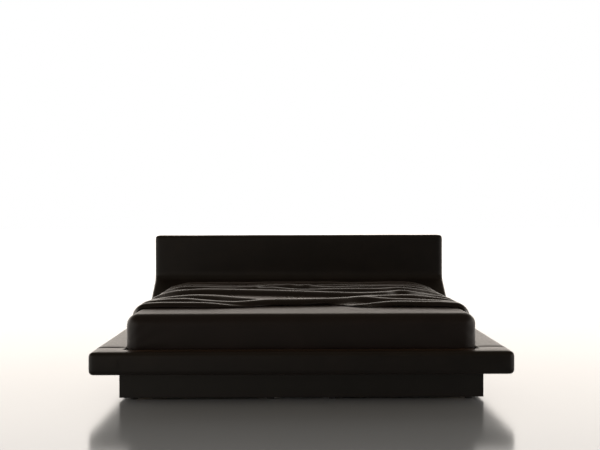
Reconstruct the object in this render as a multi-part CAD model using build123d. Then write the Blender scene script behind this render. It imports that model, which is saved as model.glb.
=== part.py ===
from build123d import *
import os
from math import radians, sin, tan

# A low platform bed: a padded leather slab that sweeps up into the headboard, on a recessed
# lacquered plinth with two drawers in each long side, a sprung slat base and its bedding.
# Millimetres. +Z is up, +Y runs from the foot to the head, and +X is the right side seen from
# the foot. The origin is on the floor, under the middle of the whole bed.

# Bedding
mattress_width = 1800.0
mattress_length = 2000.0
mattress_thickness = 200.0
mattress_sink = 26.0            # how deep the mattress stands in the platform's well
mattress_gap = 5.0              # between the mattress and the walls of its well
mattress_corner_radius = 60.0
mattress_top_radius = 35.0
mattress_bottom_radius = 15.0
sheet_thickness = 2.0
sheet_hem_height = 5.0          # the sheet's hem stands this far above the mattress's underside
coverlet_setback = 276.0        # from the mattress's foot end to the coverlet's near edge
coverlet_head_gap = 60.0        # from the coverlet's far edge to the mattress's head end
coverlet_thickness = 38.0
coverlet_drop = 128.0           # how far the coverlet hangs below the mattress's top

# Platform and headboard
ledge_width = 165.0             # padded ledge beside the mattress
foot_ledge = 120.0              # padded ledge at the foot of the mattress
corner_return = 200.0           # how far the foot rail's corners run along the sides
platform_thickness = 117.0
underside_height = 146.0        # floor to the platform's underside
bed_height = 800.0
headboard_thickness = 95.0
headboard_setback = 272.0       # from the well's head wall to the headboard's face
ramp_rise = 224.0               # platform top to the bend where the headboard turns upright
ramp_angle = 31.4               # slope of the sweep, in degrees
ramp_radius = 500.0             # blend from the platform into the sweep
bend_radius = 60.0              # blend from the sweep into the upright headboard
back_bend_radius = 150.0        # the same bend on the headboard's back
top_radius = 24.0               # the headboard's top edge, front and back
edge_radius = 22.0              # every other padded outer edge
well_edge_radius = 8.0          # padded edge round the mattress well
leather = 2.0
foam = 12.0
ply = 9.0
rib = 18.0
cross_rail = 22.0
layer_gap = 0.3                 # between one upholstery layer and the next
inner_rib_spacing = 450.0
shortest_line = 0.001           # a profile skips anything shorter between two arcs
cut_margin = 1.0                # how far a cutting block runs past what it cuts

# Bolted rail joints
bolt_radius = 4.0
bolt_head_radius = 7.0
bolt_head_length = 8.0
bolt_half_length = 45.0
bolt_spacing = 70.0
barrel_radius = 6.0
barrel_length = 30.0
bolt_clearance = 0.1
access_radius = 13.0            # hole up through the padding to each bolt head
joint_block_length = 60.0

# Slat base
slat_count = 14                 # on each side
slat_width = 68.0
slat_thickness = 8.0
slat_camber = 5.5
slat_end_margin = 64.0
holder_length = 34.0
holder_wall = 4.0
holder_base = 4.0
holder_gap = 0.2
slat_clearance = 0.3            # between the slats' crowns and the mattress
angle_leg = 40.0
angle_thickness = 4.0
centre_beam_width = 70.0
centre_beam_wall = 3.0
bearer_height = 32.0
bearer_width = 70.0
bearer_count = 3
base_end_gap = 1.0              # from the ledge angles and the centre beam to the well's end walls

# Plinth
plinth_inset = 134.0            # under the ledges at the foot and the sides
floor_gap = 12.0
panel = 19.0
panel_edge_radius = 1.5
spine_half_spacing = 190.0      # from the middle to each lengthways spine's inner face
stretcher_width = 40.0
stretcher_height = 18.0
stretcher_setback = 58.0        # from the plinth's side to the stretcher, so that a hand fits in
foot_radius = 20.0
foot_stem_radius = 4.0
foot_block_length = 60.0
foot_block_width = 40.0
foot_block_height = 14.0
foot_from_side = 70.0

# Drawers
finger_gap = 22.0               # above each drawer front
front_gap = 3.0                 # round the other edges of each drawer front
front_lift = 2.0                # drawer front above the plinth's lower edge
box_depth = 640.0
box_board = 12.0
box_bottom_height = 32.0
box_height = 86.0
box_inner_front_height = 64.0
bottom_board = 6.0
groove_depth = 6.0
groove_gap = 0.2
runner_length = 600.0
runner_setback = 17.0           # from the drawer front's back to the runner's outer end
runner_space = 13.0             # between a box side and the wall of its bay
runner_height = 45.0
runner_sheet = 1.5
runner_clearance = 0.3
runner_nesting = 3.6            # how much further each member's web lies from the bay's wall
runner_centre_height = 75.0

# What follows from them
well_half = mattress_width / 2 + mattress_gap
half_width = well_half + ledge_width
well_front = foot_ledge
well_back = well_front + mattress_length + 2 * mattress_gap
headboard_face = well_back + headboard_setback
bed_length = headboard_face + headboard_thickness
platform_top = underside_height + platform_thickness
mattress_bottom = platform_top - mattress_sink
mattress_front = well_front + mattress_gap
ramp_foot = headboard_face - ramp_rise / tan(radians(ramp_angle))
sweep_start = ramp_foot - ramp_radius * tan(radians(ramp_angle / 2))
foam_inset = leather + layer_gap
core_inset = foam_inset + foam + layer_gap
slat_seat = mattress_bottom - slat_clearance - slat_thickness - slat_camber - holder_base
bearer_top = underside_height + bearer_height
plinth_half = half_width - plinth_inset
plinth_inner_front = plinth_inset + panel
plinth_inner_back = sweep_start - panel
plinth_middle = (plinth_inner_front + plinth_inner_back) / 2
front_back_face = plinth_half - panel
front_top = underside_height - finger_gap
front_bottom = floor_gap + front_lift
partition_top = underside_height - stretcher_height
spine_outer = spine_half_spacing + panel
origin_shift = -bed_length / 2  # every Y below is counted from the foot's face

SIDES = (("left", -1), ("right", 1))
BAYS = (
    ("foot", plinth_inner_front, plinth_middle - panel / 2),
    ("head", plinth_middle + panel / 2, plinth_inner_back),
)


def block(x0, x1, y0, y1, z0, z1):
    """A box between two corners."""
    size = (x1 - x0, y1 - y0, z1 - z0)
    return Pos((x0 + x1) / 2, (y0 + y1) / 2, (z0 + z1) / 2) * Box(*size)


def mirrored(shape, side):
    """The right-hand shape, or its mirror image for the left."""
    return shape if side > 0 else mirror(shape, Plane.YZ)


def save(name, *solids):
    """Writes one node from its solids, moved from the foot's face to the origin."""
    placed = [Pos(0, origin_shift, 0) * solid for shape in solids for solid in shape.solids()]
    export_step(placed[0] if len(placed) == 1 else Compound(children=placed), f"parts/{name}.step")


def rounded_face(corners):
    """A face in the YZ plane from (y, z, radius) corners, each rounded by its radius."""
    count = len(corners)
    points = [Vector(y, z) for y, z, _ in corners]
    spans = []
    for i, (_, _, radius) in enumerate(corners):
        point = points[i]
        if radius == 0:
            spans.append((point, point, point))
            continue
        before = (points[i - 1] - point).normalized()
        after = (points[(i + 1) % count] - point).normalized()
        half_turn = radians(before.get_angle(after) / 2)
        reach = radius / tan(half_turn)
        centre = point + (before + after).normalized() * (radius / sin(half_turn))
        middle = centre + (point - centre).normalized() * radius
        spans.append((point + before * reach, middle, point + after * reach))
    edges = []
    for i, (start, middle, end) in enumerate(spans):
        following = spans[(i + 1) % count][0]
        if (end - start).length > 0:
            edges.append(ThreePointArc(start, middle, end))
        if (following - end).length > shortest_line:
            edges.append(Line(end, following))
    return Plane.YZ * make_face(edges)


def rounded(shape, picked, radius):
    """The shape with the picked edges rounded, if the radius leaves anything to round."""
    return fillet(picked, radius) if radius > 0 else shape


# Padded envelopes. Each takes how far its skin is moved in: 0 is the outside of the leather.

def well_edges(solid, inset):
    """The upper edges of a padded piece's own stretch of the mattress well."""
    low = platform_top - inset - shortest_line
    ends = (well_front - inset, well_back + inset)
    walls = (-well_half - inset, well_half + inset)

    def lies_on(edge, place, axis):
        bounds = edge.bounding_box()
        low_end, high_end = getattr(bounds.min, axis), getattr(bounds.max, axis)
        return abs(low_end - place) < shortest_line and abs(high_end - place) < shortest_line

    return [edge for edge in solid.edges()
            if edge.bounding_box().min.Z > low
            and (any(lies_on(edge, place, "X") for place in walls)
                 or any(lies_on(edge, place, "Y") for place in ends))]


def side_rail_envelope(inset):
    rail = block(well_half + inset, half_width - inset, corner_return, sweep_start,
                 underside_height + inset, platform_top - inset)
    outer = rail.edges().filter_by(Axis.Y).group_by(Axis.X)[-1]
    rail = rounded(rail, outer, edge_radius - inset)
    return rounded(rail, well_edges(rail, inset), well_edge_radius - inset)


def foot_rail_envelope(inset):
    bottom, top = underside_height + inset, platform_top - inset
    outer = half_width - inset
    rail = block(-outer, outer, inset, corner_return, bottom, top)
    picked = [edge for edge in rail.edges() if edge.center().Y < corner_return - shortest_line]
    rail = rounded(rail, picked, edge_radius - inset)
    rail -= block(-well_half - inset, well_half + inset, well_front - inset,
                  corner_return + cut_margin, bottom - cut_margin, top + cut_margin)
    return rounded(rail, well_edges(rail, inset), well_edge_radius - inset)


def sweep_face(front, back, top):
    """The swept profile, with its front, back and top each moved in by its own amount."""
    slope = tan(radians(ramp_angle))
    tilt = 1 / sin(radians(90 - ramp_angle))
    rise_front = platform_top - front
    lean = front * tilt

    def on_ramp(y):
        return platform_top + (y - ramp_foot) * slope - lean

    def under_ramp(y):
        return platform_top + (y - ramp_foot) * slope - (platform_thickness - back) * tilt

    face_y, back_y = headboard_face + front, bed_length - back
    low = underside_height + back
    front_foot = ramp_foot + (rise_front - platform_top + lean) / slope
    back_foot = ramp_foot + (low - platform_top + (platform_thickness - back) * tilt) / slope
    return rounded_face([
        (sweep_start, low, 0),
        (back_foot, low, ramp_radius + platform_thickness - back),
        (back_y, under_ramp(back_y), back_bend_radius - back),
        (back_y, bed_height - top, max(top_radius - back, 0)),
        (face_y, bed_height - top, max(top_radius - front, 0)),
        (face_y, on_ramp(face_y), bend_radius + front),
        (front_foot, rise_front, ramp_radius + front),
        (sweep_start, rise_front, 0),
    ])


def sweep_solid(front, back, side):
    """The swept slab, moved in by its own amount at the front, the back, and the sides and top."""
    half = half_width - side
    return extrude(Pos(-half, 0, 0) * sweep_face(front, back, side), 2 * half)


def headboard_envelope(inset):
    solid = sweep_solid(inset, inset, inset)
    for end in (0, -1):
        face = solid.faces().sort_by(Axis.X)[end]
        picked = [edge for edge in face.edges() if edge.center().Y > sweep_start + shortest_line]
        solid = rounded(solid, picked, edge_radius - inset)
    wall, back = well_half + inset, well_back + inset
    solid -= block(-wall, wall, sweep_start - cut_margin, back, 0, bed_height)
    return rounded(solid, well_edges(solid, inset), well_edge_radius - inset)


# Rail joints: a bolt along Y through the joint plane, and the barrel nut that it turns into.

def joint_bolts(side, joint_y, toward):
    """The bolts, barrel nuts, their bores and the access holes at one joint, on one side."""
    bolts, nuts, bores, access = [], [], [], []
    middle_x = side * (well_half + ledge_width / 2)
    middle_z = underside_height + platform_thickness / 2
    head_y = -toward * (bolt_half_length + bolt_head_length / 2)
    nut_y = toward * (bolt_half_length - 2 * barrel_radius)
    for step in (-0.5, 0.5):
        place = Pos(middle_x + step * bolt_spacing, joint_y, middle_z)
        shaft = Rot(90, 0, 0) * Cylinder(bolt_radius, 2 * bolt_half_length)
        head = Pos(0, head_y, 0) * Rot(90, 0, 0) * Cylinder(bolt_head_radius, bolt_head_length)
        barrel = Pos(0, nut_y, 0) * Cylinder(barrel_radius, barrel_length)
        bore = Rot(90, 0, 0) * Cylinder(bolt_radius + bolt_clearance,
                                        2 * (bolt_half_length + bolt_clearance))
        seat = Pos(0, nut_y, 0) * Cylinder(barrel_radius + bolt_clearance,
                                           barrel_length + 2 * bolt_clearance)
        reach = middle_z - underside_height + bolt_head_radius + bolt_clearance
        way_in = Pos(0, head_y, bolt_head_radius + bolt_clearance - reach / 2) * Cylinder(
            access_radius, reach)
        bolts.append(place * (shaft + head))
        nuts.append(place * (barrel - bore))
        bores.append(place * (bore + seat))
        access.append(place * (way_in - bore))
    return bolts, nuts, bores, access


def platform():
    """The padded rails, the headboard and the bolts that join them."""
    bolts, nuts, bores, access = [], [], [], []
    for _, side in SIDES:
        for joint_y, toward in ((corner_return, 1), (sweep_start, -1)):
            at_joint = joint_bolts(side, joint_y, toward)
            for pile, more in zip((bolts, nuts, bores, access), at_joint):
                pile += more
    save("rail_bolts", *bolts)
    save("barrel_nuts", *nuts)

    deep = foam_inset + foam
    drilled = bores + access

    def upholstered(names, envelope, side=1):
        """The leather and the foam of one padded piece."""
        cover = envelope(0) - envelope(leather)
        padding = envelope(foam_inset) - envelope(deep)
        save(names.format("cover"), mirrored(cover, side) - access)
        save(names.format("foam"), mirrored(padding, side) - access)

    upholstered("foot_rail_{}", foot_rail_envelope)
    save("foot_rail_core", foot_rail_envelope(core_inset) - drilled)
    for label, side in SIDES:
        upholstered("side_rail_{}_" + label, side_rail_envelope, side)
        core = mirrored(side_rail_envelope(core_inset), side)
        save(f"side_rail_core_{label}", core - drilled)
    upholstered("headboard_{}", headboard_envelope)
    headboard_frame(drilled)


def headboard_frame(drilled):
    """Bent plywood panels on shaped ribs, with cross rails and a block at each rail joint."""
    core = headboard_envelope(core_inset)
    inside = core_inset + ply
    hollow = sweep_solid(inside, inside, core_inset)
    save("headboard_front_panel", core & (sweep_solid(core_inset, inside, core_inset) - hollow))
    back_panel = core & (sweep_solid(inside, core_inset, core_inset) - hollow)
    save("headboard_back_panel", back_panel - drilled)

    frame = core & hollow
    joint_end = sweep_start + joint_block_length
    joint_blocks = [mirrored(block(well_half, half_width, sweep_start, joint_end, 0, bed_height),
                             side) for _, side in SIDES]
    save("headboard_joint_blocks", *[(frame & piece) - drilled for piece in joint_blocks])

    edge = well_back + core_inset
    rails = [
        block(-half_width, half_width, headboard_face, bed_length,
              bed_height - core_inset - cross_rail, bed_height),
        block(-well_half, well_half, edge, edge + cross_rail, 0, platform_top + ramp_rise),
    ]
    save("headboard_cross_rails", *[frame & rail for rail in rails])

    def ribs_at(places):
        """The upright ribs whose middles lie at these places across the bed."""
        between = frame - joint_blocks - rails
        return [between & block(x - rib / 2, x + rib / 2, 0, bed_length, 0, bed_height)
                for x in places]

    end_x = half_width - core_inset - rib / 2
    wing_x = well_half + core_inset + rib / 2
    save("headboard_end_ribs", *ribs_at([-end_x, end_x]))
    inner_places = [-inner_rib_spacing, 0, inner_rib_spacing]
    save("headboard_inner_ribs", *ribs_at([-wing_x, *inner_places, wing_x]))


def slat_base():
    """Ledge angles, cross bearers, a centre beam, and bowed slats in rubber holders."""
    start, end = well_front + base_end_gap, well_back - base_end_gap
    angles = []
    for _, side in SIDES:
        upright = block(well_half - angle_thickness, well_half, start, end,
                        bearer_top, slat_seat)
        flat = block(well_half - angle_leg, well_half, start, end,
                     slat_seat - angle_thickness, slat_seat)
        angles.append(mirrored(upright + flat, side))
    save("ledge_angles", *angles)

    first, last = plinth_inset + bearer_width, sweep_start - bearer_width
    step = (last - first) / (bearer_count - 1)
    save("cross_bearers", *[
        block(-well_half, well_half, first + i * step - bearer_width / 2,
              first + i * step + bearer_width / 2, underside_height, bearer_top)
        for i in range(bearer_count)])

    half = centre_beam_width / 2
    beam = block(-half, half, start, end, bearer_top, slat_seat)
    bore = block(-half + centre_beam_wall, half - centre_beam_wall, 0, bed_length,
                 bearer_top + centre_beam_wall, slat_seat - centre_beam_wall)
    save("centre_beam", beam - bore)

    first, last = well_front + slat_end_margin, well_back - slat_end_margin
    step = (last - first) / (slat_count - 1)
    x0, x1 = holder_wall / 2, well_half - angle_thickness
    low = slat_seat + holder_base
    slat_x0, slat_x1 = x0 + holder_wall, x1 - holder_wall
    middle = (slat_x0 + slat_x1) / 2
    outline = make_face([
        ThreePointArc((slat_x0, low), (middle, low + slat_camber), (slat_x1, low)),
        Line((slat_x1, low), (slat_x1, low + slat_thickness)),
        ThreePointArc((slat_x1, low + slat_thickness),
                      (middle, low + slat_camber + slat_thickness),
                      (slat_x0, low + slat_thickness)),
        Line((slat_x0, low + slat_thickness), (slat_x0, low)),
    ])
    slat = extrude(Plane.XZ * outline, slat_width / 2, both=True)
    pocket = slat_width / 2 + holder_gap
    top = low + slat_thickness + holder_gap

    def holder(inner, outer):
        """A cap round one end of a slat, closed at the end away from the slat's middle."""
        shell = block(inner, outer, -pocket - holder_wall / 2, pocket + holder_wall / 2,
                      slat_seat, top + holder_wall / 2)
        hollow = block(slat_x0 - holder_gap, slat_x1 + holder_gap, -pocket, pocket,
                       low - holder_gap, top + slat_camber)
        return shell - hollow

    pair = [holder(x0, x0 + holder_length), holder(x1 - holder_length, x1)]
    for name, side in SIDES:
        rows = [Pos(0, first + i * step, 0) for i in range(slat_count)]
        save(f"slats_{name}", *[row * mirrored(slat, side) for row in rows])
        save(f"slat_holders_{name}", *[row * mirrored(cap, side) for row in rows for cap in pair])


def softened(shape):
    """A panel with its sharp lengthways edges eased, as sanded lacquer is."""
    return fillet(shape.edges(), panel_edge_radius)


def plinth():
    """Lacquered foot and head panels, lengthways spines, partitions, stretchers and feet."""
    for name, y0 in (("foot", plinth_inset), ("head", plinth_inner_back)):
        save(f"plinth_{name}_panel", softened(
            block(-plinth_half, plinth_half, y0, y0 + panel, floor_gap, underside_height)))
    for name, side in SIDES:
        spine = block(spine_half_spacing, spine_outer, plinth_inner_front, plinth_inner_back,
                      floor_gap, underside_height)
        partition = block(spine_outer, front_back_face - front_gap,
                          plinth_middle - panel / 2, plinth_middle + panel / 2,
                          floor_gap, partition_top)
        save(f"plinth_spine_{name}", mirrored(spine, side))
        save(f"plinth_partition_{name}", mirrored(partition, side))
    outer = plinth_half - stretcher_setback
    stretcher = block(outer - stretcher_width, outer, plinth_inner_front, plinth_inner_back,
                      partition_top, underside_height)
    save("plinth_stretchers", *[mirrored(stretcher, side) for _, side in SIDES])

    feet, blocks = [], []
    hole = Cylinder(foot_stem_radius + bolt_clearance, 2 * underside_height)
    for x in (plinth_half - foot_from_side, spine_half_spacing - foot_block_length / 2):
        for y0 in (plinth_inner_front, plinth_middle + panel / 2,
                   plinth_inner_back - foot_block_width):
            middle_y = y0 + foot_block_width / 2
            pad = block(x - foot_block_length / 2, x + foot_block_length / 2,
                        y0, y0 + foot_block_width, floor_gap, floor_gap + foot_block_height)
            disc = Pos(x, middle_y, floor_gap / 2) * Cylinder(foot_radius, floor_gap)
            stem_top = floor_gap + foot_block_height
            stem = Pos(x, middle_y, stem_top / 2) * Cylinder(foot_stem_radius, stem_top)
            for _, side in SIDES:
                feet.append(mirrored(disc + stem, side))
                blocks.append(mirrored(pad - Pos(x, middle_y, 0) * hole, side))
    save("levelling_feet", *feet)
    save("foot_blocks", *blocks)


def runner_member(inner_end, y_wall, toward, web, reach, height):
    """One steel channel of a runner: a web, and two flanges that point across the runner."""
    x0, x1 = inner_end, inner_end + runner_length
    z = runner_centre_height
    near, far = sorted((y_wall + toward * web, y_wall + toward * (web + runner_sheet)))
    tip0, tip1 = sorted((y_wall + toward * reach[0], y_wall + toward * reach[1]))
    member = block(x0, x1, near, far, z - height / 2, z + height / 2)
    for end in (-1, 1):
        low, high = sorted((z + end * height / 2, z + end * (height / 2 - runner_sheet)))
        member += block(x0, x1, tip0, tip1, low, high)
    return member


def drawers():
    """Four drawers: a lacquered front, a grooved plywood box, and three-part runners."""
    fixed_members = []
    runner_start = front_back_face - runner_setback - runner_length
    step = runner_sheet + runner_clearance
    heights = [runner_height - 2 * i * step for i in range(3)]
    inner_web = runner_space - runner_sheet
    for position, bay0, bay1 in BAYS:
        box0, box1 = bay0 + runner_space, bay1 - runner_space
        x0, x1 = front_back_face - box_depth, front_back_face
        top = box_bottom_height + box_height
        walls = [
            block(x0, x1, box0, box0 + box_board, box_bottom_height, top),
            block(x0, x1, box1 - box_board, box1, box_bottom_height, top),
            block(x0, x0 + box_board, box0 + box_board, box1 - box_board,
                  box_bottom_height, top),
            block(x1 - box_board, x1, box0 + box_board, box1 - box_board,
                  box_bottom_height, box_bottom_height + box_inner_front_height),
        ]
        depth = box_board - groove_depth
        base_z = box_bottom_height + groove_depth

        def base(gap):
            return block(x0 + depth - gap, x1 - depth + gap, box0 + depth - gap,
                         box1 - depth + gap, base_z - gap, base_z + bottom_board + gap)

        at_end = plinth_inset + panel if position == "foot" else plinth_inner_back
        edge = at_end + front_gap if position == "foot" else at_end - front_gap
        middle = plinth_middle - front_gap / 2 if position == "foot" else (
            plinth_middle + front_gap / 2)
        y0, y1 = sorted((edge, middle))
        front = softened(block(front_back_face, plinth_half, y0, y1, front_bottom, front_top))

        members = {"fixed": [], "middle": [], "inner": []}
        for wall, toward in ((bay0, 1), (bay1, -1)):
            members["fixed"].append(runner_member(
                runner_start, wall, toward, 0, (0, inner_web - runner_clearance), heights[0]))
            members["middle"].append(runner_member(
                runner_start, wall, toward, runner_nesting,
                (runner_nesting, inner_web - runner_clearance), heights[1]))
            members["inner"].append(runner_member(
                runner_start, wall, toward, inner_web,
                (2 * runner_nesting, runner_space), heights[2]))

        for name, side in SIDES:
            label = f"{name}_{position}"
            save(f"drawer_{label}_front", mirrored(front, side))
            save(f"drawer_{label}_box", *[mirrored(wall - base(groove_gap), side)
                                          for wall in walls])
            save(f"drawer_{label}_bottom", mirrored(base(0), side))
            save(f"drawer_{label}_runner", *[mirrored(m, side) for m in members["inner"]])
            save(f"runner_{label}_middle", *[mirrored(m, side) for m in members["middle"]])
            fixed_members += [mirrored(m, side) for m in members["fixed"]]
    save("runners_fixed", *fixed_members)


def mattress_envelope(grown):
    """The mattress, or the outside of a layer that lies round it."""
    half = mattress_width / 2 + grown
    shape = block(-half, half, mattress_front - grown, mattress_front + mattress_length + grown,
                  mattress_bottom, mattress_bottom + mattress_thickness + grown)
    shape = fillet(shape.edges().filter_by(Axis.Z), mattress_corner_radius + grown)
    top = shape.edges().group_by(Axis.Z)[-1]
    return fillet(top, mattress_top_radius + grown)


def bedding():
    """The mattress, its fitted sheet and the coverlet that lies over most of it."""
    mattress = mattress_envelope(0)
    save("mattress", fillet(mattress.edges().group_by(Axis.Z)[0], mattress_bottom_radius))

    below = mattress_bottom + sheet_hem_height
    under = block(-half_width, half_width, 0, bed_length, 0, below)
    inside = sheet_thickness + layer_gap
    save("fitted_sheet", mattress_envelope(inside) - mattress_envelope(layer_gap) - under)

    inner = inside + layer_gap
    outer = inner + coverlet_thickness
    top = mattress_bottom + mattress_thickness
    keep = block(-half_width, half_width, mattress_front + coverlet_setback,
                 mattress_front + mattress_length - coverlet_head_gap, top - coverlet_drop,
                 bed_height)
    save("coverlet", (mattress_envelope(outer) - mattress_envelope(inner)) & keep)


def main():
    os.makedirs("parts", exist_ok=True)
    platform()
    slat_base()
    plinth()
    drawers()
    bedding()


main()
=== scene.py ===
import math

import bmesh
import bpy
import numpy as np
from mathutils import Matrix, Vector, noise
from mathutils.bvhtree import BVHTree
from mathutils.kdtree import KDTree


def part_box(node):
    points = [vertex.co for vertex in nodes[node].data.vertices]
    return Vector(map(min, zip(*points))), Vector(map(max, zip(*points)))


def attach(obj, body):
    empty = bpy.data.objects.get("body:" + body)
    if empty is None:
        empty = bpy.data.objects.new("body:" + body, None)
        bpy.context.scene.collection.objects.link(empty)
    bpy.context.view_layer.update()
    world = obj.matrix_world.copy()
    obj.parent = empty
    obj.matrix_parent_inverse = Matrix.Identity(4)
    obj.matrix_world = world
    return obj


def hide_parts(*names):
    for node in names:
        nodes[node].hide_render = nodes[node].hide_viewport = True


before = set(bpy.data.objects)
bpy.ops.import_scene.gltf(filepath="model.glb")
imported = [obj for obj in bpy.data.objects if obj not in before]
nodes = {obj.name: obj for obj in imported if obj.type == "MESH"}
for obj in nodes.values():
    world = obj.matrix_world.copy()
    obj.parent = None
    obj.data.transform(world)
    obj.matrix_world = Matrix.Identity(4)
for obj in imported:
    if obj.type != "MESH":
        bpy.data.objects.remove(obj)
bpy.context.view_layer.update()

# Low leather platform bed: camera and light, upholstery, bedding, joinery finishes.
# Metres throughout. X is across the bed, Y runs from the foot to the head, Z is up.

millimetre = 0.001
weldDistance = 0.00002                # points nearer than this are taken as one
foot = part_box("foot_rail_cover")
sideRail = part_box("side_rail_cover_right")
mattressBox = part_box("mattress")
railTop = foot[1].z
railBottom = foot[0].z
wellHalf = sideRail[0].x              # from the middle to the mattress well's side wall
bedHalf = sideRail[1].x
footJointY = sideRail[0].y            # where the foot rail meets the side rails
headJointY = sideRail[1].y            # where the side rails meet the headboard
mattressTop = mattressBox[1].z
mattressHalf = mattressBox[1].x
mattressFoot = mattressBox[0].y
mattressHead = mattressBox[1].y


def meshPiece(name, verts, faces, body):
    mesh = bpy.data.meshes.new(name)
    mesh.from_pydata([tuple(v) for v in verts], [], faces)
    mesh.validate()
    mesh.update()
    return placePiece(name, mesh, body)


def placePiece(name, mesh, body):
    piece = bpy.data.objects.new(name, mesh)
    bpy.context.scene.collection.objects.link(piece)
    mesh.polygons.foreach_set("use_smooth", [True] * len(mesh.polygons))
    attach(piece, body)
    return piece


def remeshed(piece, voxel, smoothing):
    # swaps the mesh for an even one that follows it, with its corners softened
    remesh = piece.modifiers.new("remesh", "REMESH")
    remesh.mode = "VOXEL"
    remesh.voxel_size = voxel
    smooth = piece.modifiers.new("smooth", "SMOOTH")
    smooth.factor = 0.5
    smooth.iterations = smoothing
    graph = bpy.context.evaluated_depsgraph_get()
    mesh = bpy.data.meshes.new_from_object(piece.evaluated_get(graph))
    piece.modifiers.clear()
    piece.data = mesh
    mesh.polygons.foreach_set("use_smooth", [True] * len(mesh.polygons))


def coated(mesh, material):
    mesh.materials.clear()
    mesh.materials.append(material)


def readPoints(mesh):
    points = np.empty(len(mesh.vertices) * 3, np.float32)
    mesh.vertices.foreach_get("co", points)
    return points.reshape(-1, 3).astype(float)


def readNormals(mesh):
    normals = np.empty(len(mesh.vertices) * 3, np.float32)
    mesh.vertices.foreach_get("normal", normals)
    return normals.reshape(-1, 3).astype(float)


def writePoints(mesh, points):
    mesh.vertices.foreach_set("co", points.astype(np.float32).ravel())
    mesh.update()


def wander(points, size, seed=0.0):
    # smooth noise from -1 to 1, with lumps of about this size
    return np.array([noise.noise(Vector(p) / size + Vector((seed, -seed, seed))) for p in points])


def meshTree(mesh):
    return BVHTree.FromPolygons([v.co.copy() for v in mesh.vertices],
                                [tuple(p.vertices) for p in mesh.polygons])


def smoothStep(value, low, high):
    t = np.clip((value - low) / (high - low), 0, 1)
    return t * t * (3 - 2 * t)


def linearColour(hexColour):
    # sRGB hex to the linear values that the shader takes
    channels = [int(hexColour[i:i + 2], 16) / 255 for i in (1, 3, 5)]
    return tuple(c / 12.92 if c <= 0.04045 else ((c + 0.055) / 1.055) ** 2.4
                 for c in channels) + (1.0,)


def addNode(tree, kind, settings=None, inputs=None, colours=()):
    # settings are the node's own properties; an input takes a value or another node's socket;
    # colours are a ramp's places and hex values
    node = tree.nodes.new(kind)
    for key, value in (settings or {}).items():
        setattr(node, key, value)
    for key, value in (inputs or {}).items():
        if isinstance(value, bpy.types.NodeSocket):
            tree.links.new(value, node.inputs[key])
        else:
            node.inputs[key].default_value = value
    if colours:
        stops = node.color_ramp.elements
        while len(stops) < len(colours):
            stops.new(0.5)
        for stop, (position, hexColour) in zip(stops, colours):
            stop.position = position
            stop.color = linearColour(hexColour)
    return node


def newMaterial(name, **shaderValues):
    material = bpy.data.materials.new(name)
    material.use_nodes = True
    tree = material.node_tree
    shader = tree.nodes["Principled BSDF"]
    for key, value in shaderValues.items():
        shader.inputs[key.replace("_", " ")].default_value = value
    place = addNode(tree, "ShaderNodeTexCoord").outputs["Object"]
    return material, tree, shader, place


def leatherPigmentedGrained():
    # Cowhide, drum dyed and pigmented almost black, with a low pebbled grain: matt face on, and a
    # broad pale sheen where the light grazes it
    size = {"pebble": 2.4, "crease": 9.0, "cloud": 160.0}     # mm; pebbles are drawn double size to show
    material, tree, shader, place = newMaterial(
        "leatherPigmentedGrained", IOR=1.46, Sheen_Weight=0.06, Sheen_Roughness=0.35,
        Sheen_Tint=linearColour("#c08a58"))
    pebble = addNode(tree, "ShaderNodeTexVoronoi", {"feature": "SMOOTH_F1"},
                     {"Vector": place, "Scale": 1000 / size["pebble"], "Smoothness": 0.6})
    crease = addNode(tree, "ShaderNodeTexNoise", None,
                     {"Vector": place, "Scale": 1000 / size["crease"], "Detail": 5.0})
    cloud = addNode(tree, "ShaderNodeTexNoise", None,
                    {"Vector": place, "Scale": 1000 / size["cloud"], "Detail": 3.0})
    tone = addNode(tree, "ShaderNodeValToRGB", None, {"Fac": cloud.outputs["Fac"]},
                   [(0.3, "#130f0c"), (0.55, "#191411"), (0.8, "#201a15")])
    edge = addNode(tree, "ShaderNodeNewGeometry").outputs["Pointiness"]
    rubbed = addNode(tree, "ShaderNodeMapRange", None,
                     {"Value": edge, "From Min": 0.51, "From Max": 0.56, "To Min": 0.0, "To Max": 0.35})
    worn = addNode(tree, "ShaderNodeMix", {"data_type": "RGBA"},
                   {"Factor": rubbed.outputs["Result"], "A": tone.outputs["Color"],
                    "B": linearColour("#33291f")})
    tree.links.new(worn.outputs["Result"], shader.inputs["Base Color"])
    rough = addNode(tree, "ShaderNodeMapRange", None,
                    {"Value": crease.outputs["Fac"], "From Min": 0.3, "From Max": 0.7,
                     "To Min": 0.30, "To Max": 0.40})
    tree.links.new(rough.outputs["Result"], shader.inputs["Roughness"])
    fine = addNode(tree, "ShaderNodeBump", None,
                   {"Strength": 0.35, "Distance": 0.00035, "Height": pebble.outputs["Distance"]})
    broad = addNode(tree, "ShaderNodeBump", None,
                    {"Strength": 0.3, "Distance": 0.0006, "Height": crease.outputs["Fac"],
                     "Normal": fine.outputs["Normal"]})
    tree.links.new(broad.outputs["Normal"], shader.inputs["Normal"])
    return material


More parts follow.
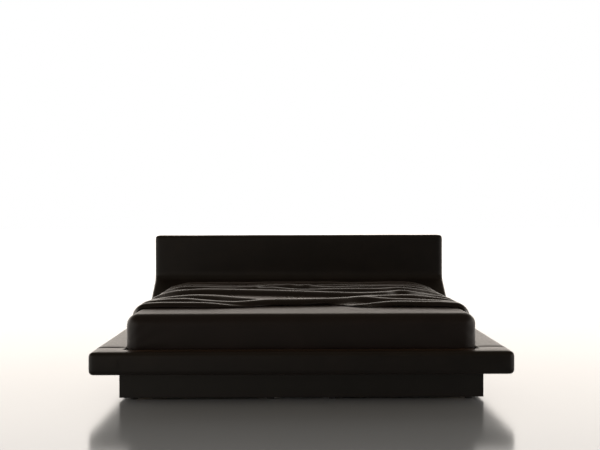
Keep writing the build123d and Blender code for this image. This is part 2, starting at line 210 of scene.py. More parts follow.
def sateenWoven(name, dark, light, sheen, roughness):
    # Sateen, woven so that the weft floats over the warp: dark face on, with a silvery bloom along
    # every fold that turns away. Silk floats lie flatter than cotton ones, so silk is glossier.
    thread = 3.16                         # mm; drawn twelve times its real spacing, or it wouldn't show
    scale = 1000 / thread * 2 * math.pi / 20                  # a wave texture has 20 radians to a unit
    drift = 167.0                                             # mm; slow change of tone from dye and wear
    material, tree, shader, place = newMaterial(
        name, IOR=1.42, Sheen_Weight=sheen, Sheen_Roughness=0.22,
        Sheen_Tint=linearColour("#dac6ba"))
    warp = addNode(tree, "ShaderNodeTexWave", {"bands_direction": "X"},
                   {"Vector": place, "Scale": scale, "Distortion": 0.4})
    weft = addNode(tree, "ShaderNodeTexWave", {"bands_direction": "Y"},
                   {"Vector": place, "Scale": scale, "Distortion": 0.4})
    crossing = addNode(tree, "ShaderNodeMath", {"operation": "MULTIPLY"},
                       {0: warp.outputs["Fac"], 1: weft.outputs["Fac"]})
    cloud = addNode(tree, "ShaderNodeTexNoise", None,
                    {"Vector": place, "Scale": 1000 / drift, "Detail": 4.0})
    tone = addNode(tree, "ShaderNodeValToRGB", None, {"Fac": cloud.outputs["Fac"]},
                   [(0.25, dark), (0.8, light)])
    tree.links.new(tone.outputs["Color"], shader.inputs["Base Color"])
    rough = addNode(tree, "ShaderNodeMapRange", None,
                    {"Value": cloud.outputs["Fac"], "To Min": roughness - 0.05,
                     "To Max": roughness + 0.05})
    tree.links.new(rough.outputs["Result"], shader.inputs["Roughness"])
    bump = addNode(tree, "ShaderNodeBump", None,
                   {"Strength": 0.15, "Distance": 0.0001, "Height": crossing.outputs["Value"]})
    tree.links.new(bump.outputs["Normal"], shader.inputs["Normal"])
    return material


def lacquerSprayedSatin():
    # Satin lacquer sprayed on fibreboard: near black, a soft reflection with a faint orange peel
    size = {"peel": 3.0, "cloud": 90.0}                       # mm
    material, tree, shader, place = newMaterial("lacquerSprayedSatin", IOR=1.5, Coat_Weight=0.15,
                                                Coat_Roughness=0.25)
    peel = addNode(tree, "ShaderNodeTexNoise", None,
                   {"Vector": place, "Scale": 1000 / size["peel"], "Detail": 1.0})
    cloud = addNode(tree, "ShaderNodeTexNoise", None,
                    {"Vector": place, "Scale": 1000 / size["cloud"], "Detail": 5.0})
    tone = addNode(tree, "ShaderNodeValToRGB", None, {"Fac": cloud.outputs["Fac"]},
                   [(0.3, "#110e0c"), (0.75, "#181411")])
    tree.links.new(tone.outputs["Color"], shader.inputs["Base Color"])
    rough = addNode(tree, "ShaderNodeMapRange", None,
                    {"Value": cloud.outputs["Fac"], "To Min": 0.34, "To Max": 0.48})
    tree.links.new(rough.outputs["Result"], shader.inputs["Roughness"])
    bump = addNode(tree, "ShaderNodeBump", None,
                   {"Strength": 0.1, "Distance": 0.0002, "Height": peel.outputs["Fac"]})
    tree.links.new(bump.outputs["Normal"], shader.inputs["Normal"])
    return material


def woodSawn(name, stops, grainAxis, grain, roughness):
    # Timber cut along the grain: long streaks of early and late wood, grain mm wide, with finer pores
    # between them
    slender = 14                                              # a streak's length in its own widths
    material, tree, shader, place = newMaterial(name, IOR=1.5)
    stretch = [1000 / grain] * 3
    stretch[grainAxis] = 1000 / grain / slender
    along = addNode(tree, "ShaderNodeMapping", None, {"Vector": place, "Scale": stretch})
    streak = addNode(tree, "ShaderNodeTexNoise", None,
                     {"Vector": along.outputs["Vector"], "Scale": 1.0, "Detail": 6.0, "Distortion": 0.6})
    pore = addNode(tree, "ShaderNodeTexNoise", None,
                   {"Vector": along.outputs["Vector"], "Scale": 7.0, "Detail": 2.0})
    tone = addNode(tree, "ShaderNodeValToRGB", None, {"Fac": streak.outputs["Fac"]}, stops)
    tree.links.new(tone.outputs["Color"], shader.inputs["Base Color"])
    rough = addNode(tree, "ShaderNodeMapRange", None,
                    {"Value": pore.outputs["Fac"], "To Min": roughness - 0.06,
                     "To Max": roughness + 0.1})
    tree.links.new(rough.outputs["Result"], shader.inputs["Roughness"])
    bump = addNode(tree, "ShaderNodeBump", None,
                   {"Strength": 0.2, "Distance": 0.0002, "Height": pore.outputs["Fac"]})
    tree.links.new(bump.outputs["Normal"], shader.inputs["Normal"])
    return material


def steelZincPlated():
    # Cold rolled strip, zinc plated: bright grey with rolling marks along its length
    size = {"markLength": 33.3, "markWidth": 1.11}            # mm
    material, tree, shader, place = newMaterial("steelZincPlated", Metallic=1.0)
    thin = 1000 / size["markWidth"]
    along = addNode(tree, "ShaderNodeMapping", None,
                    {"Vector": place, "Scale": (1000 / size["markLength"], thin, thin)})
    marks = addNode(tree, "ShaderNodeTexNoise", None,
                    {"Vector": along.outputs["Vector"], "Scale": 1.0, "Detail": 4.0})
    tone = addNode(tree, "ShaderNodeValToRGB", None, {"Fac": marks.outputs["Fac"]},
                   [(0.3, "#a9abad"), (0.7, "#c6c8c9")])
    tree.links.new(tone.outputs["Color"], shader.inputs["Base Color"])
    rough = addNode(tree, "ShaderNodeMapRange", None,
                    {"Value": marks.outputs["Fac"], "To Min": 0.24, "To Max": 0.42})
    tree.links.new(rough.outputs["Result"], shader.inputs["Roughness"])
    return material


def moulded(name, stops, texture, roughness, depth):
    # One fine texture over an even colour: powder coat, rubber, thread or knitted cloth, by the
    # texture's size and depth in mm
    drift = 83.3                                              # mm; slow change of tone
    material, tree, shader, place = newMaterial(name, IOR=1.5)
    skin = addNode(tree, "ShaderNodeTexNoise", None,
                   {"Vector": place, "Scale": 1000 / texture, "Detail": 3.0})
    cloud = addNode(tree, "ShaderNodeTexNoise", None,
                    {"Vector": place, "Scale": 1000 / drift, "Detail": 3.0})
    tone = addNode(tree, "ShaderNodeValToRGB", None, {"Fac": cloud.outputs["Fac"]}, stops)
    tree.links.new(tone.outputs["Color"], shader.inputs["Base Color"])
    rough = addNode(tree, "ShaderNodeMapRange", None,
                    {"Value": skin.outputs["Fac"], "To Min": roughness - 0.06,
                     "To Max": roughness + 0.08})
    tree.links.new(rough.outputs["Result"], shader.inputs["Roughness"])
    bump = addNode(tree, "ShaderNodeBump", None,
                   {"Strength": 0.4, "Distance": depth * millimetre, "Height": skin.outputs["Fac"]})
    tree.links.new(bump.outputs["Normal"], shader.inputs["Normal"])
    return material


leather = leatherPigmentedGrained()
sheetSateen = sateenWoven("cottonSateenWoven", "#191210", "#231a17", 0.08, 0.42)
coverletSateen = sateenWoven("silkSateenWoven", "#17110f", "#211815", 0.12, 0.28)
lacquer = lacquerSprayedSatin()
beech = woodSawn("beechVeneerLacquered", [(0.3, "#b98a5e"), (0.6, "#cfa576"), (0.85, "#dab68a")],
                 grainAxis=0, grain=6.0, roughness=0.38)
birch = woodSawn("birchPlywoodSanded", [(0.3, "#bf9a6c"), (0.6, "#d2b083"), (0.9, "#dfc49c")],
                 grainAxis=1, grain=9.0, roughness=0.5)
steel = steelZincPlated()
powderCoat = moulded("steelPowderCoated", [(0.3, "#191919"), (0.7, "#222222")], 0.8, 0.5, 0.15)
rubber = moulded("rubberMoulded", [(0.3, "#161616"), (0.7, "#1f1f1f")], 1.5, 0.7, 0.1)
ticking = moulded("cottonTickingKnitted", [(0.3, "#d4cfc6"), (0.7, "#e2ded6")], 2.5, 0.85, 0.5)
thread = moulded("polyesterThreadTwisted", [(0.3, "#211b17"), (0.7, "#2d2620")], 0.6, 0.45, 0.1)
print("materials made")


view = {
    "place": (-0.0372, -6.1459, 0.9455),
    "turn": 0.0062, "tilt": 0.0096, "roll": -0.0026,       # radians: to the right, down, and level
    "lens": 58.85,
}
camera = bpy.data.objects.new("camera", bpy.data.cameras.new("camera"))
camera.data.lens = view["lens"]
camera.data.sensor_width = 36.0
camera.matrix_world = (Matrix.Translation(view["place"]) @ Matrix.Rotation(-view["turn"], 4, "Z")
                       @ Matrix.Rotation(math.pi / 2 - view["tilt"], 4, "X")
                       @ Matrix.Rotation(view["roll"], 4, "Z"))
bpy.context.scene.collection.objects.link(camera)
bpy.context.scene.camera = camera
bpy.context.scene.view_settings.view_transform = "Standard"

studio = {
    "behindBed": 1.75, "overhead": 0.12, "leftFront": 0.36, "rightFront": 0.0,   # brightness
    "sides": 1.0, "frontTint": "#ffe6c4", "wallTint": "#fff6ec", "warmBelow": 0.6,
    # where each part of the room fades into the next, as parts of the direction looked in
    "frontFade": (-0.16, 0.14), "sideFade": (0.28, 0.70), "backFade": (-0.7, 0.8),
    "topFade": (0.22, 0.62),
    # the near floor tone is painted shade: darker around the bed than far away
    "floorNearShaded": "#ccd3dc", "floorFar": "#e2e9f4", "floorRoughness": 0.16, "floorSize": 120.0,
    "floorShadeFade": (2.5, 14.0), "nearPolish": 0.35,                       # metres over which the painted shade around the bed fades out; metallic share near the bed
    "foreLight": {"place": (-0.8, -2.5, 3.8), "size": (3.0, 1.6), "power": 4.0, "aim": (-0.4, -2.4, 0.0),
                  "tint": "#fff2d8"},
    "rearLight": {"place": (0.0, 4.2, 4.2), "size": (5.0, 3.0), "power": 85.0, "aim": (0.0, 4.6, 0.0),
                  "tint": "#fffaf0"},
}


def softSurround():
    # a white room: bright behind the bed and at the sides, dim overhead, dark straight in front, and
    # plain white where it is looked at
    world = bpy.data.worlds.new("softSurround")
    bpy.context.scene.world = world
    world.use_nodes = True
    tree = world.node_tree
    direction = addNode(tree, "ShaderNodeTexCoord").outputs["Generated"]
    split = addNode(tree, "ShaderNodeSeparateXYZ", None, {0: direction})
    front = addNode(tree, "ShaderNodeMapRange", None,
                    {"Value": split.outputs["X"], "From Min": studio["frontFade"][0],
                     "From Max": studio["frontFade"][1], "To Min": studio["leftFront"],
                     "To Max": studio["rightFront"]})
    aside = addNode(tree, "ShaderNodeMath", {"operation": "ABSOLUTE"}, {0: split.outputs["X"]})
    wing = addNode(tree, "ShaderNodeMapRange", {"interpolation_type": "SMOOTHSTEP"},
                   {"Value": aside.outputs["Value"], "From Min": studio["sideFade"][0],
                    "From Max": studio["sideFade"][1], "To Min": front.outputs["Result"],
                    "To Max": studio["sides"]})
    glow = addNode(tree, "ShaderNodeMapRange", {"interpolation_type": "SMOOTHSTEP"},
                   {"Value": split.outputs["Y"], "From Min": studio["backFade"][0],
                    "From Max": studio["backFade"][1], "To Min": wing.outputs["Result"],
                    "To Max": studio["behindBed"]})
    height = addNode(tree, "ShaderNodeMapRange", {"interpolation_type": "SMOOTHSTEP"},
                     {"Value": split.outputs["Z"], "From Min": studio["topFade"][0],
                      "From Max": studio["topFade"][1]})
    above = addNode(tree, "ShaderNodeMix", None,
                    {"Factor": height.outputs["Result"], "A": glow.outputs["Result"],
                     "B": studio["overhead"]})
    seen = addNode(tree, "ShaderNodeLightPath").outputs["Is Camera Ray"]
    strength = addNode(tree, "ShaderNodeMix", None,
                       {"Factor": seen, "A": above.outputs["Result"], "B": 1.0})
    warmth = addNode(tree, "ShaderNodeMapRange", None,
                     {"Value": strength.outputs["Result"], "From Max": studio["warmBelow"]})
    tint = addNode(tree, "ShaderNodeMix", {"data_type": "RGBA"},
                   {"Factor": warmth.outputs["Result"], "A": linearColour(studio["frontTint"]),
                    "B": linearColour(studio["wallTint"])})
    shown = addNode(tree, "ShaderNodeMix", {"data_type": "RGBA"},
                    {"Factor": seen, "A": tint.outputs["Result"], "B": (1, 1, 1, 1)})
    tree.links.new(strength.outputs["Result"], tree.nodes["Background"].inputs["Strength"])
    tree.links.new(shown.outputs["Result"], tree.nodes["Background"].inputs["Color"])


def paleFloor():
    half = studio["floorSize"] / 2
    mesh = bpy.data.meshes.new("floor")
    corners = [(-half, -half, 0), (half, -half, 0), (half, half, 0), (-half, half, 0)]
    mesh.from_pydata(corners, [], [(0, 1, 2, 3)])
    floor = bpy.data.objects.new("floor", mesh)
    bpy.context.scene.collection.objects.link(floor)
    # Poured pale resin, polished: a hazy mirror at a low angle. Near the bed it is painted darker, as shade
    # around the bed, and is less of a mirror; it turns paler and more so far away
    material, tree, shader, place = newMaterial("resinPoured", IOR=1.5,
                                                Roughness=studio["floorRoughness"])
    away = addNode(tree, "ShaderNodeVectorMath", {"operation": "LENGTH"}, {0: place})
    far = addNode(tree, "ShaderNodeMapRange", {"interpolation_type": "SMOOTHSTEP"},
                  {"Value": away.outputs["Value"], "From Min": studio["floorShadeFade"][0],
                   "From Max": studio["floorShadeFade"][1]})
    # painted shade: the floor is darker near the bed and pales with distance
    tone = addNode(tree, "ShaderNodeMix", {"data_type": "RGBA"},
                   {"Factor": far.outputs["Result"], "A": linearColour(studio["floorNearShaded"]),
                    "B": linearColour(studio["floorFar"])})
    polish = addNode(tree, "ShaderNodeMapRange", None,
                     {"Value": far.outputs["Result"], "To Min": studio["nearPolish"], "To Max": 1.0})
    tree.links.new(tone.outputs["Result"], shader.inputs["Base Color"])
    tree.links.new(polish.outputs["Result"], shader.inputs["Metallic"])
    mesh.materials.append(material)


def softBox(name, place, size, power, aim, tint):
    light = bpy.data.lights.new(name, "AREA")
    light.shape = "RECTANGLE"
    light.size, light.size_y = size
    light.energy = power
    light.color = linearColour(tint)[:3]
    lamp = bpy.data.objects.new(name, light)
    lamp.location = place
    lamp.rotation_euler = (Vector(aim) - Vector(place)).to_track_quat("-Z", "Y").to_euler()
    lamp.visible_glossy = False           # it fills the shade and leaves no shape of its own in the gloss
    bpy.context.scene.collection.objects.link(lamp)


softSurround()
paleFloor()
softBox("foreLight", **studio["foreLight"])
softBox("rearLight", **studio["rearLight"])
print("camera and light made")


upholstery = {
    "railVoxel": 0.008, "headboardVoxel": 0.010, "smoothing": 5,
    "crown": 0.0035, "crownReach": 0.045,                  # padding swells this much between edges
    "roll": 0.0008, "rollSize": 0.22,                      # slow unevenness of hand-laid padding
    "pucker": 0.0009, "puckerReach": 0.022, "puckerSize": 0.018,
    "deepest": 0.0012,                                     # leather never sinks further than this
    "outward": 0.5,                                        # how squarely a face looks away from the foam
    "tightBend": 9.0,                                      # turn per metre that makes an edge
    "undersideFade": (-0.35, 0.2), "levelFace": 0.8,       # upward part of a face's direction
    "wellMargin": 0.012, "wellEnd": 0.03, "jointFade": 0.012,
    "stitchLength": 0.0075, "stitchGap": 0.0025, "stitchRadius": 0.0008, "stitchFromSeam": 0.009,
    "stitchArc": 140, "stitchSearch": 0.3, "stitchProud": 0.4,      # degrees, metres, share of its radius
}


def outerSkin(coverName, foamName):
    # the leather's outer faces alone, closed where the piece meets its neighbours
    foamTree = meshTree(nodes[foamName].data)
    skin = bmesh.new()
    skin.from_mesh(nodes[coverName].data)
    bmesh.ops.remove_doubles(skin, verts=skin.verts, dist=weldDistance)
    inside = []
    for face in skin.faces:
        centre = face.calc_center_median()
        place, _, _, distance = foamTree.find_nearest(centre)
        if (centre - place).dot(face.normal) < upholstery["outward"] * distance:
            inside.append(face)
    bmesh.ops.delete(skin, geom=inside, context="FACES")
    loose = [v for v in skin.verts if not v.link_faces]
    bmesh.ops.delete(skin, geom=loose, context="VERTS")
    bmesh.ops.holes_fill(skin, edges=[e for e in skin.edges if e.is_boundary], sides=0)
    bmesh.ops.recalc_face_normals(skin, faces=skin.faces)
    mesh = bpy.data.meshes.new(coverName + "_skin")
    skin.to_mesh(mesh)
    skin.free()
    return mesh


def edgeDistances(mesh, points, normals):
    # how far each point lies from the nearest tightly rounded outer edge
    pairs = np.empty(len(mesh.edges) * 2, np.int32)
    mesh.edges.foreach_get("vertices", pairs)
    pairs = pairs.reshape(-1, 2)
    step = points[pairs[:, 1]] - points[pairs[:, 0]]
    turn = normals[pairs[:, 1]] - normals[pairs[:, 0]]
    bend = (step * turn).sum(1) / np.maximum((step ** 2).sum(1), 1e-12)
    total, count = np.zeros(len(points)), np.zeros(len(points))
    for column in (0, 1):
        np.add.at(total, pairs[:, column], bend)
        np.add.at(count, pairs[:, column], 1)
    tight = np.nonzero(total / np.maximum(count, 1) > upholstery["tightBend"])[0]
    tree = KDTree(len(tight))
    for i, index in enumerate(tight):
        tree.insert(points[index], i)
    tree.balance()
    return np.array([tree.find(p)[2] for p in points])


def padLeather(name, coverName, foamName, voxel, seed):
    mesh = outerSkin(coverName, foamName)
    skinTree = meshTree(mesh)
    piece = placePiece(name, mesh, "frame")
    remeshed(piece, voxel, upholstery["smoothing"])
    points, normals = readPoints(piece.data), readNormals(piece.data)

    # swell the faces that show, leaving the well, the underside and the joints as they are
    shown = smoothStep(normals[:, 2], *upholstery["undersideFade"])
    inWell = np.abs(points[:, 0]) < wellHalf + upholstery["wellMargin"]
    inWell &= points[:, 1] < mattressHead + upholstery["wellEnd"]
    shown[inWell & (normals[:, 2] < upholstery["levelFace"])] = 0
    toJoint = np.minimum(np.abs(points[:, 1] - footJointY), np.abs(points[:, 1] - headJointY))
    shown *= smoothStep(toJoint, 0.0, upholstery["jointFade"])
    distance = edgeDistances(piece.data, points, normals)
    swell = upholstery["crown"] * (1 - np.exp(-distance / upholstery["crownReach"]))
    swell += upholstery["roll"] * wander(points, upholstery["rollSize"], seed)
    pucker = wander(points, upholstery["puckerSize"], seed + 5)
    swell += upholstery["pucker"] * pucker * np.exp(-toJoint / upholstery["puckerReach"])
    points += normals * (swell * shown)[:, None]

    # no point sinks far below the plain leather face
    for i, point in enumerate(points):
        place, normal, _, _ = skinTree.find_nearest(point)
        depth = (Vector(point) - place).dot(normal)
        if depth < -upholstery["deepest"]:
            points[i] += np.array(normal) * (-upholstery["deepest"] - depth)
    writePoints(piece.data, points)
    coated(piece.data, leather)
    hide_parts(coverName, foamName)
    return piece


def addCapsule(verts, faces, start, end, radius):
    # one stitch: a short thread, fattest in its middle, with both ends drawn in
    axis = (end - start).normalized()
    side = axis.orthogonal().normalized()
    other = axis.cross(side)
    rings = ((0.0, 0.35), (0.2, 0.9), (0.5, 1.0), (0.8, 0.9), (1.0, 0.35))
    first = len(verts)
    for along, fatness in rings:
        middle = start.lerp(end, along)
        for k in range(6):
            angle = k * math.pi / 3
            outward = side * math.cos(angle) + other * math.sin(angle)
            verts.append(middle + outward * radius * fatness)
    for r in range(len(rings) - 1):
        for k in range(6):
            a, b = first + r * 6 + k, first + r * 6 + (k + 1) % 6
            faces.append((a, b, b + 6, a + 6))
    faces.append(tuple(first + k for k in reversed(range(6))))
    faces.append(tuple(first + (len(rings) - 1) * 6 + k for k in range(6)))


def seamStitches(pieces):
    # a row of thread on each side of every seam where two padded pieces meet
    trees = [meshTree(p.data) for p in pieces]
    verts, faces = [], []
    pitch = upholstery["stitchLength"] + upholstery["stitchGap"]
    search = upholstery["stitchSearch"]
    proud = upholstery["stitchRadius"] * upholstery["stitchProud"]
    centreZ = (railTop + railBottom) / 2
    for side in (-1, 1):
        centreX = side * (wellHalf + bedHalf) / 2
        for jointY in (footJointY, headJointY):
            for away in (-1, 1):
                y = jointY + away * upholstery["stitchFromSeam"]
                centre = Vector((centreX, y, centreZ))
                path = []
                for degree in range(-upholstery["stitchArc"], upholstery["stitchArc"] + 1):
                    angle = math.radians(degree)
                    ray = Vector((side * math.cos(angle), 0, math.sin(angle)))
                    hits = [t.ray_cast(centre + ray * search, -ray, search) for t in trees]
                    near = [h for h in hits if h[0] is not None]
                    if near:
                        best = min(near, key=lambda h: h[3])
                        path.append(best[0] + best[1] * proud)
                lengths = [0.0]
                for a, b in zip(path, path[1:]):
                    lengths.append(lengths[-1] + (b - a).length)
                travelled = np.array(lengths)
                route = np.array([tuple(p) for p in path])
                for k in range(int(travelled[-1] / pitch)):
                    ends = [Vector([np.interp(k * pitch + d, travelled, route[:, c]) for c in range(3)])
                            for d in (0, upholstery["stitchLength"])]
                    addCapsule(verts, faces, *ends, upholstery["stitchRadius"])
    piece = meshPiece("seam_stitches", verts, faces, "frame")
    piece.data.materials.append(thread)


footRailPad = padLeather("foot_rail_leather", "foot_rail_cover", "foot_rail_foam",
                         upholstery["railVoxel"], 1.0)
railPads = [padLeather(f"side_rail_leather_{side}", f"side_rail_cover_{side}", f"side_rail_foam_{side}",
                       upholstery["railVoxel"], seed)
            for side, seed in (("left", 2.0), ("right", 3.0))]
headboardPad = padLeather("headboard_leather", "headboard_cover", "headboard_foam",
                          upholstery["headboardVoxel"], 4.0)
seamStitches([footRailPad, *railPads, headboardPad])
print("upholstery made")


bedding = {
    "voxel": 0.014, "smoothing": 4, "cornerRadius": 0.065, "edgeRadius": 0.055,
    "crown": 0.003, "crownDepth": 0.08, "fill": 0.9,
    "sheetLift": 0.0022, "hem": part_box("fitted_sheet")[0].z,
    "drift": 0.0012, "driftSize": 0.35,                    # slow unevenness of the stretched sheet
    "tensionFold": 0.0022, "tensionReach": 0.24,           # pulled lines where the elastic tugs
    "tensionRise": 0.01, "tensionBlunt": 0.02, "tensionRays": 17, "tensionFade": (0.3, 0.8),
}


def crownHeight(x, y):
    # the mattress stands a little proud in its middle
    middle = (mattressFoot + mattressHead) / 2
    across = np.clip(1 - (x / mattressHalf) ** 4, 0, 1)
    return bedding["crown"] * across * np.clip(1 - ((y - middle) / (mattressHead - middle)) ** 6, 0, 1)


def softMattress():
    mesh = nodes["mattress"].data.copy()
    clean = bmesh.new()
    clean.from_mesh(mesh)
    bmesh.ops.remove_doubles(clean, verts=clean.verts, dist=weldDistance)
    clean.to_mesh(mesh)
    clean.free()
    piece = placePiece("mattress_pad", mesh, "frame")
    remeshed(piece, bedding["voxel"], bedding["smoothing"])
    points = readPoints(piece.data)

    # wear the upper edges round: measure in from the plan outline and down from the top
    corner, edge = bedding["cornerRadius"], bedding["edgeRadius"]
    middle = np.array([0, (mattressFoot + mattressHead) / 2])
    half = np.array([mattressHalf, (mattressHead - mattressFoot) / 2])
    fromMiddle = points[:, :2] - middle
    over = np.maximum(np.abs(fromMiddle) - (half - corner), 0)
    reach = np.linalg.norm(over, axis=1)
    inward = -np.sign(fromMiddle) * over / np.maximum(reach, 1e-9)[:, None]
    tuckSide = np.maximum(reach - (corner - edge), 0)
    tuckTop = np.maximum(edge - (mattressTop - points[:, 2]), 0)
    excess = np.maximum(np.hypot(tuckSide, tuckTop) - edge, 0)
    share = excess / np.maximum(np.hypot(tuckSide, tuckTop), 1e-9)
    points[:, :2] += inward * (tuckSide * share)[:, None]
    points[:, 2] -= tuckTop * share
    upper = smoothStep(points[:, 2], mattressTop - bedding["crownDepth"], mattressTop)
    points[:, 2] += crownHeight(points[:, 0], points[:, 1]) * upper
    writePoints(piece.data, points)
    coated(piece.data, ticking)
    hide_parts("mattress")
    return piece


def fittedSheet(mattress):
    mesh = mattress.data.copy()
    cut = bmesh.new()
    cut.from_mesh(mesh)
    bmesh.ops.bisect_plane(cut, geom=cut.verts[:] + cut.edges[:] + cut.faces[:], dist=0.00001,
                           plane_co=(0, 0, bedding["hem"]), plane_no=(0, 0, -1), clear_outer=True)
    cut.to_mesh(mesh)
    cut.free()
    piece = placePiece("sheet_fitted", mesh, "frame")
    points, normals = readPoints(mesh), readNormals(mesh)
    lift = np.full(len(points), bedding["sheetLift"])
    lift += bedding["drift"] * (0.5 + 0.5 * wander(points, bedding["driftSize"], 9.0))
    # pulled lines fan out from each corner
    level = bedding["hem"] + bedding["tensionRise"]
    upright = 1 - smoothStep(normals[:, 2], *bedding["tensionFade"])
    for x in (-mattressHalf, mattressHalf):
        for y in (mattressFoot, mattressHead):
            dx, dy, dz = points[:, 0] - x, points[:, 1] - y, points[:, 2] - level
            run = np.hypot(dx, dy)
            angle = np.arctan2(dz, run + bedding["tensionBlunt"])
            near = np.exp(-np.hypot(run, dz) / bedding["tensionReach"])
            rays = 0.5 + 0.5 * np.sin(angle * bedding["tensionRays"] + 2 * x + y)
            lift += bedding["tensionFold"] * near * upright * rays
    points += normals * lift[:, None]
    writePoints(mesh, points)
    coated(mesh, sheetSateen)
    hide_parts("fitted_sheet")


fittedSheet(softMattress())
print("mattress and sheet made")


# Folds, each given at the same places across the bed: how far its crest lies from the
# mattress's foot end (m), and how high it stands (mm). Where it stands at nothing there is no fold.
acrossBed = (-0.93, -0.80, -0.65, -0.50, -0.35, -0.20, 0.0, 0.20, 0.35, 0.50, 0.65, 0.80, 0.93)
foldCrests = [
    ((.36, .365, .365, .35, .33, .33, .33, .33, .36, .38, .375, .36, .34),
     (14, 24, 24, 21, 6, 0, 0, 0, 11, 25, 25, 24, 14)),
    ((.46, .52, .56, .46, .40, .46, .48, .52, .62, .54, .49, .44, .40),
     (14, 27, 29, 25, 24, 31, 32, 32, 33, 28, 27, 24, 14)),
    ((.52, .60, .74, .70, .58, .52, .58, .62, .68, .73, .75, .58, .48),
     (8, 29, 34, 35, 33, 27, 8, 10, 28, 30, 30, 27, 8)),
    ((.70, 1.04, 1.20, 1.20, 1.15, 1.10, 1.04, .98, .93, .99, 1.11, .78, .62),
     (8, 31, 35, 35, 35, 35, 33, 30, 30, 30, 30, 27, 8)),
    ((.86, 1.22, 1.42, 1.46, 1.48, 1.42, 1.24, 1.26, 1.28, 1.28, 1.36, 1.12, .76),
     (6, 26, 14, 8, 14, 30, 28, 30, 30, 30, 30, 28, 8)),
    ((1.05, 1.44, 1.50, 1.42, 1.44, 1.58, 1.60, 1.42, 1.46, 1.50, 1.52, 1.36, .95),
     (8, 30, 32, 32, 32, 32, 32, 31, 32, 32, 31, 28, 8)),
    ((1.25, 1.60, 1.66, 1.62, 1.64, 1.72, 1.56, 1.62, 1.64, 1.64, 1.66, 1.58, 1.20),
     (6, 29, 30, 28, 26, 30, 30, 30, 30, 28, 30, 28, 6)),
    ((1.45, 1.74, 1.82, 1.80, 1.80, 1.85, 1.85, 1.84, 1.78, 1.80, 1.84, 1.76, 1.35),
     (8, 32, 35, 35, 35, 35, 35, 35, 34, 34, 35, 32, 8)),
]
hemLine = (.31, .315, .315, .30, .32, .39, .41, .43, .32, .33, .325, .31, .29)
coverlet = {
    "columnStep": 0.0082, "rowStep": 0.0078, "softening": 2, "thickness": 0.004,
    "edgeRadius": 0.060, "lift": 0.0070, "loft": 0.0015,   # clear of the sheet, then a little loft
    "drop": 0.125, "backEdge": 0.060, "backWave": 0.008,   # down the sides, and short of the headboard
    "lip": 2.3, "roundness": 2.2,                          # a fold's face: its length in rises, its bulge
    "tail": 3.4, "shortestTail": 0.03,                     # its back: length in rises, and the least (m)
    "leastRise": 0.5, "meeting": 5,                        # mm; how crisply two folds meet
    "lean": 0.45,                                          # folds tip towards the foot by this share
    "flare": 0.006, "droop": 0.016, "hangFade": 0.08,      # the free sides stand out and hang unevenly
    "hemFade": (-0.002, 0.008), "endFade": (0.985, 1.0), "endDrop": 0.7,     # shares of its length
    "wrinkle": 0.0004, "wrinkleAcross": 0.35, "wrinkleAlong": 0.045, "wrinkleSway": 0.05,
    "takenUp": 1.12,                                       # flat length for each metre that it covers
}


def alongCurve(values, s):
    # a smooth curve through values given at the places across the bed
    knots, values = np.array(acrossBed), np.array(values, float)
    slopes = np.gradient(values, knots)
    i = np.clip(np.searchsorted(knots, s) - 1, 0, len(knots) - 2)
    span = knots[i + 1] - knots[i]
    t = np.clip((s - knots[i]) / span, 0, 1)
    return ((1 + 2 * t) * (1 - t) ** 2 * values[i] + t * (1 - t) ** 2 * span * slopes[i]
            + t * t * (3 - 2 * t) * values[i + 1] + t * t * (t - 1) * span * slopes[i + 1])


def foldHeight(s, y):
    # each fold has a steep face towards the foot and a long back; where two meet the higher one wins
    total = np.zeros_like(s)
    for places, heights in foldCrests:
        t = y - alongCurve(places, s)
        rise = np.clip(alongCurve(heights, s), coverlet["leastRise"], None) * millimetre
        face = 1 - np.clip(-t / (coverlet["lip"] * rise), 0, 1) ** coverlet["roundness"]
        back = 1 - smoothStep(t, 0, coverlet["tail"] * rise + coverlet["shortestTail"])
        total += (rise * np.where(t < 0, face, back)) ** coverlet["meeting"]
    return total ** (1 / coverlet["meeting"])


def softened(height, times):
    # rounds the creases off by averaging each point with its neighbours
    for _ in range(times):
        for axis in (0, 1):
            count = height.shape[axis]
            before = height.take([0, *range(count - 1)], axis)
            after = height.take([*range(1, count), count - 1], axis)
            height = (before + 2 * height + after) / 4
    return height


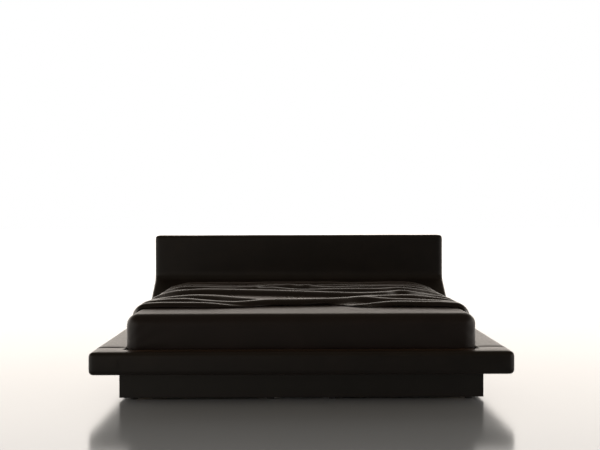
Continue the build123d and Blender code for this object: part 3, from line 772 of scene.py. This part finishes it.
def drapedCoverlet():
    flatHalf = mattressHalf - coverlet["edgeRadius"] + coverlet["lift"]
    bend = coverlet["edgeRadius"] * math.pi / 2
    reach = flatHalf + bend + coverlet["drop"] - coverlet["edgeRadius"]
    columns = int(2 * reach / coverlet["columnStep"])
    length = mattressHead - mattressFoot - coverlet["backEdge"] - min(hemLine)
    rows = int(length / coverlet["rowStep"])
    s, v = np.meshgrid(np.linspace(-reach, reach, columns), np.linspace(0, 1, rows), indexing="ij")
    near = alongCurve(hemLine, s)
    far = mattressHead - mattressFoot - coverlet["backEdge"]
    far = far + coverlet["backWave"] * np.sin(2.3 * s + 1.0)
    y = near + (far - near) * v
    height = softened(foldHeight(s, y), coverlet["softening"])
    across = s / coverlet["wrinkleAcross"]
    along = (y + coverlet["wrinkleSway"] * np.sin(3 * s)) / coverlet["wrinkleAlong"]
    wrinkles = wander(np.stack([across, along, 0 * s], -1).reshape(-1, 3), 1.0, 7.0)
    height = height + coverlet["wrinkle"] * wrinkles.reshape(s.shape)
    height = np.maximum(height, 0) + coverlet["loft"]
    height *= smoothStep(v, *coverlet["hemFade"])
    height *= 1 - coverlet["endDrop"] * smoothStep(v, *coverlet["endFade"])

    # wrap the flat cloth over the mattress's long edges
    side, away = np.sign(s), np.abs(s)
    turn = np.clip((away - flatHalf) / coverlet["edgeRadius"], 0, math.pi / 2)
    fall = np.clip(away - flatHalf - bend, 0, None)
    outX = np.minimum(away, flatHalf) + coverlet["edgeRadius"] * np.sin(turn)
    downZ = coverlet["edgeRadius"] * (1 - np.cos(turn)) + fall
    hang = smoothStep(fall, 0.0, coverlet["hangFade"])
    flare = coverlet["flare"] * hang * (0.5 + 0.5 * np.sin(10 * y + 3 * side + 2 * np.sin(4 * y)))
    x = side * (outX + (height + flare) * np.sin(turn))
    z = mattressTop + coverlet["lift"] - downZ + height * np.cos(turn)
    z += crownHeight(x, mattressFoot + y)
    z -= coverlet["droop"] * hang * np.sin(6.5 * y + 1.4 * side)
    yPlace = mattressFoot + y - coverlet["lean"] * height * (1 - hang)
    points = np.stack([x, yPlace, z], -1).reshape(-1, 3)
    faces = [(i * rows + j, (i + 1) * rows + j, (i + 1) * rows + j + 1, i * rows + j + 1)
             for i in range(columns - 1) for j in range(rows - 1)]
    piece = meshPiece("coverlet_cloth", points, faces, "frame")
    cloth = piece.modifiers.new("cloth", "SOLIDIFY")
    cloth.thickness = coverlet["thickness"]
    cloth.offset = 0.0
    piece.data.materials.append(coverletSateen)
    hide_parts("coverlet")


drapedCoverlet()
print("coverlet made")


# every other piece keeps its own mesh, and is birch plywood unless its name starts with one of these
finishes = {
    "slats_": beech, "slat_holders_": rubber, "plinth_foot_panel": lacquer, "plinth_head_panel": lacquer,
    "rail_bolts": steel, "barrel_nuts": steel, "runners_fixed": steel, "runner_": steel,
    "ledge_angles": powderCoat, "centre_beam": powderCoat, "levelling_feet": powderCoat,
}


def finishOf(name):
    if name.startswith("drawer_") and name.endswith("_front"):
        return lacquer
    if name.startswith("drawer_") and name.endswith("_runner"):
        return steel
    return next((finish for start, finish in finishes.items() if name.startswith(start)), birch)


for name, node in nodes.items():
    if not node.hide_render:
        coated(node.data, finishOf(name))
print("finishes made")
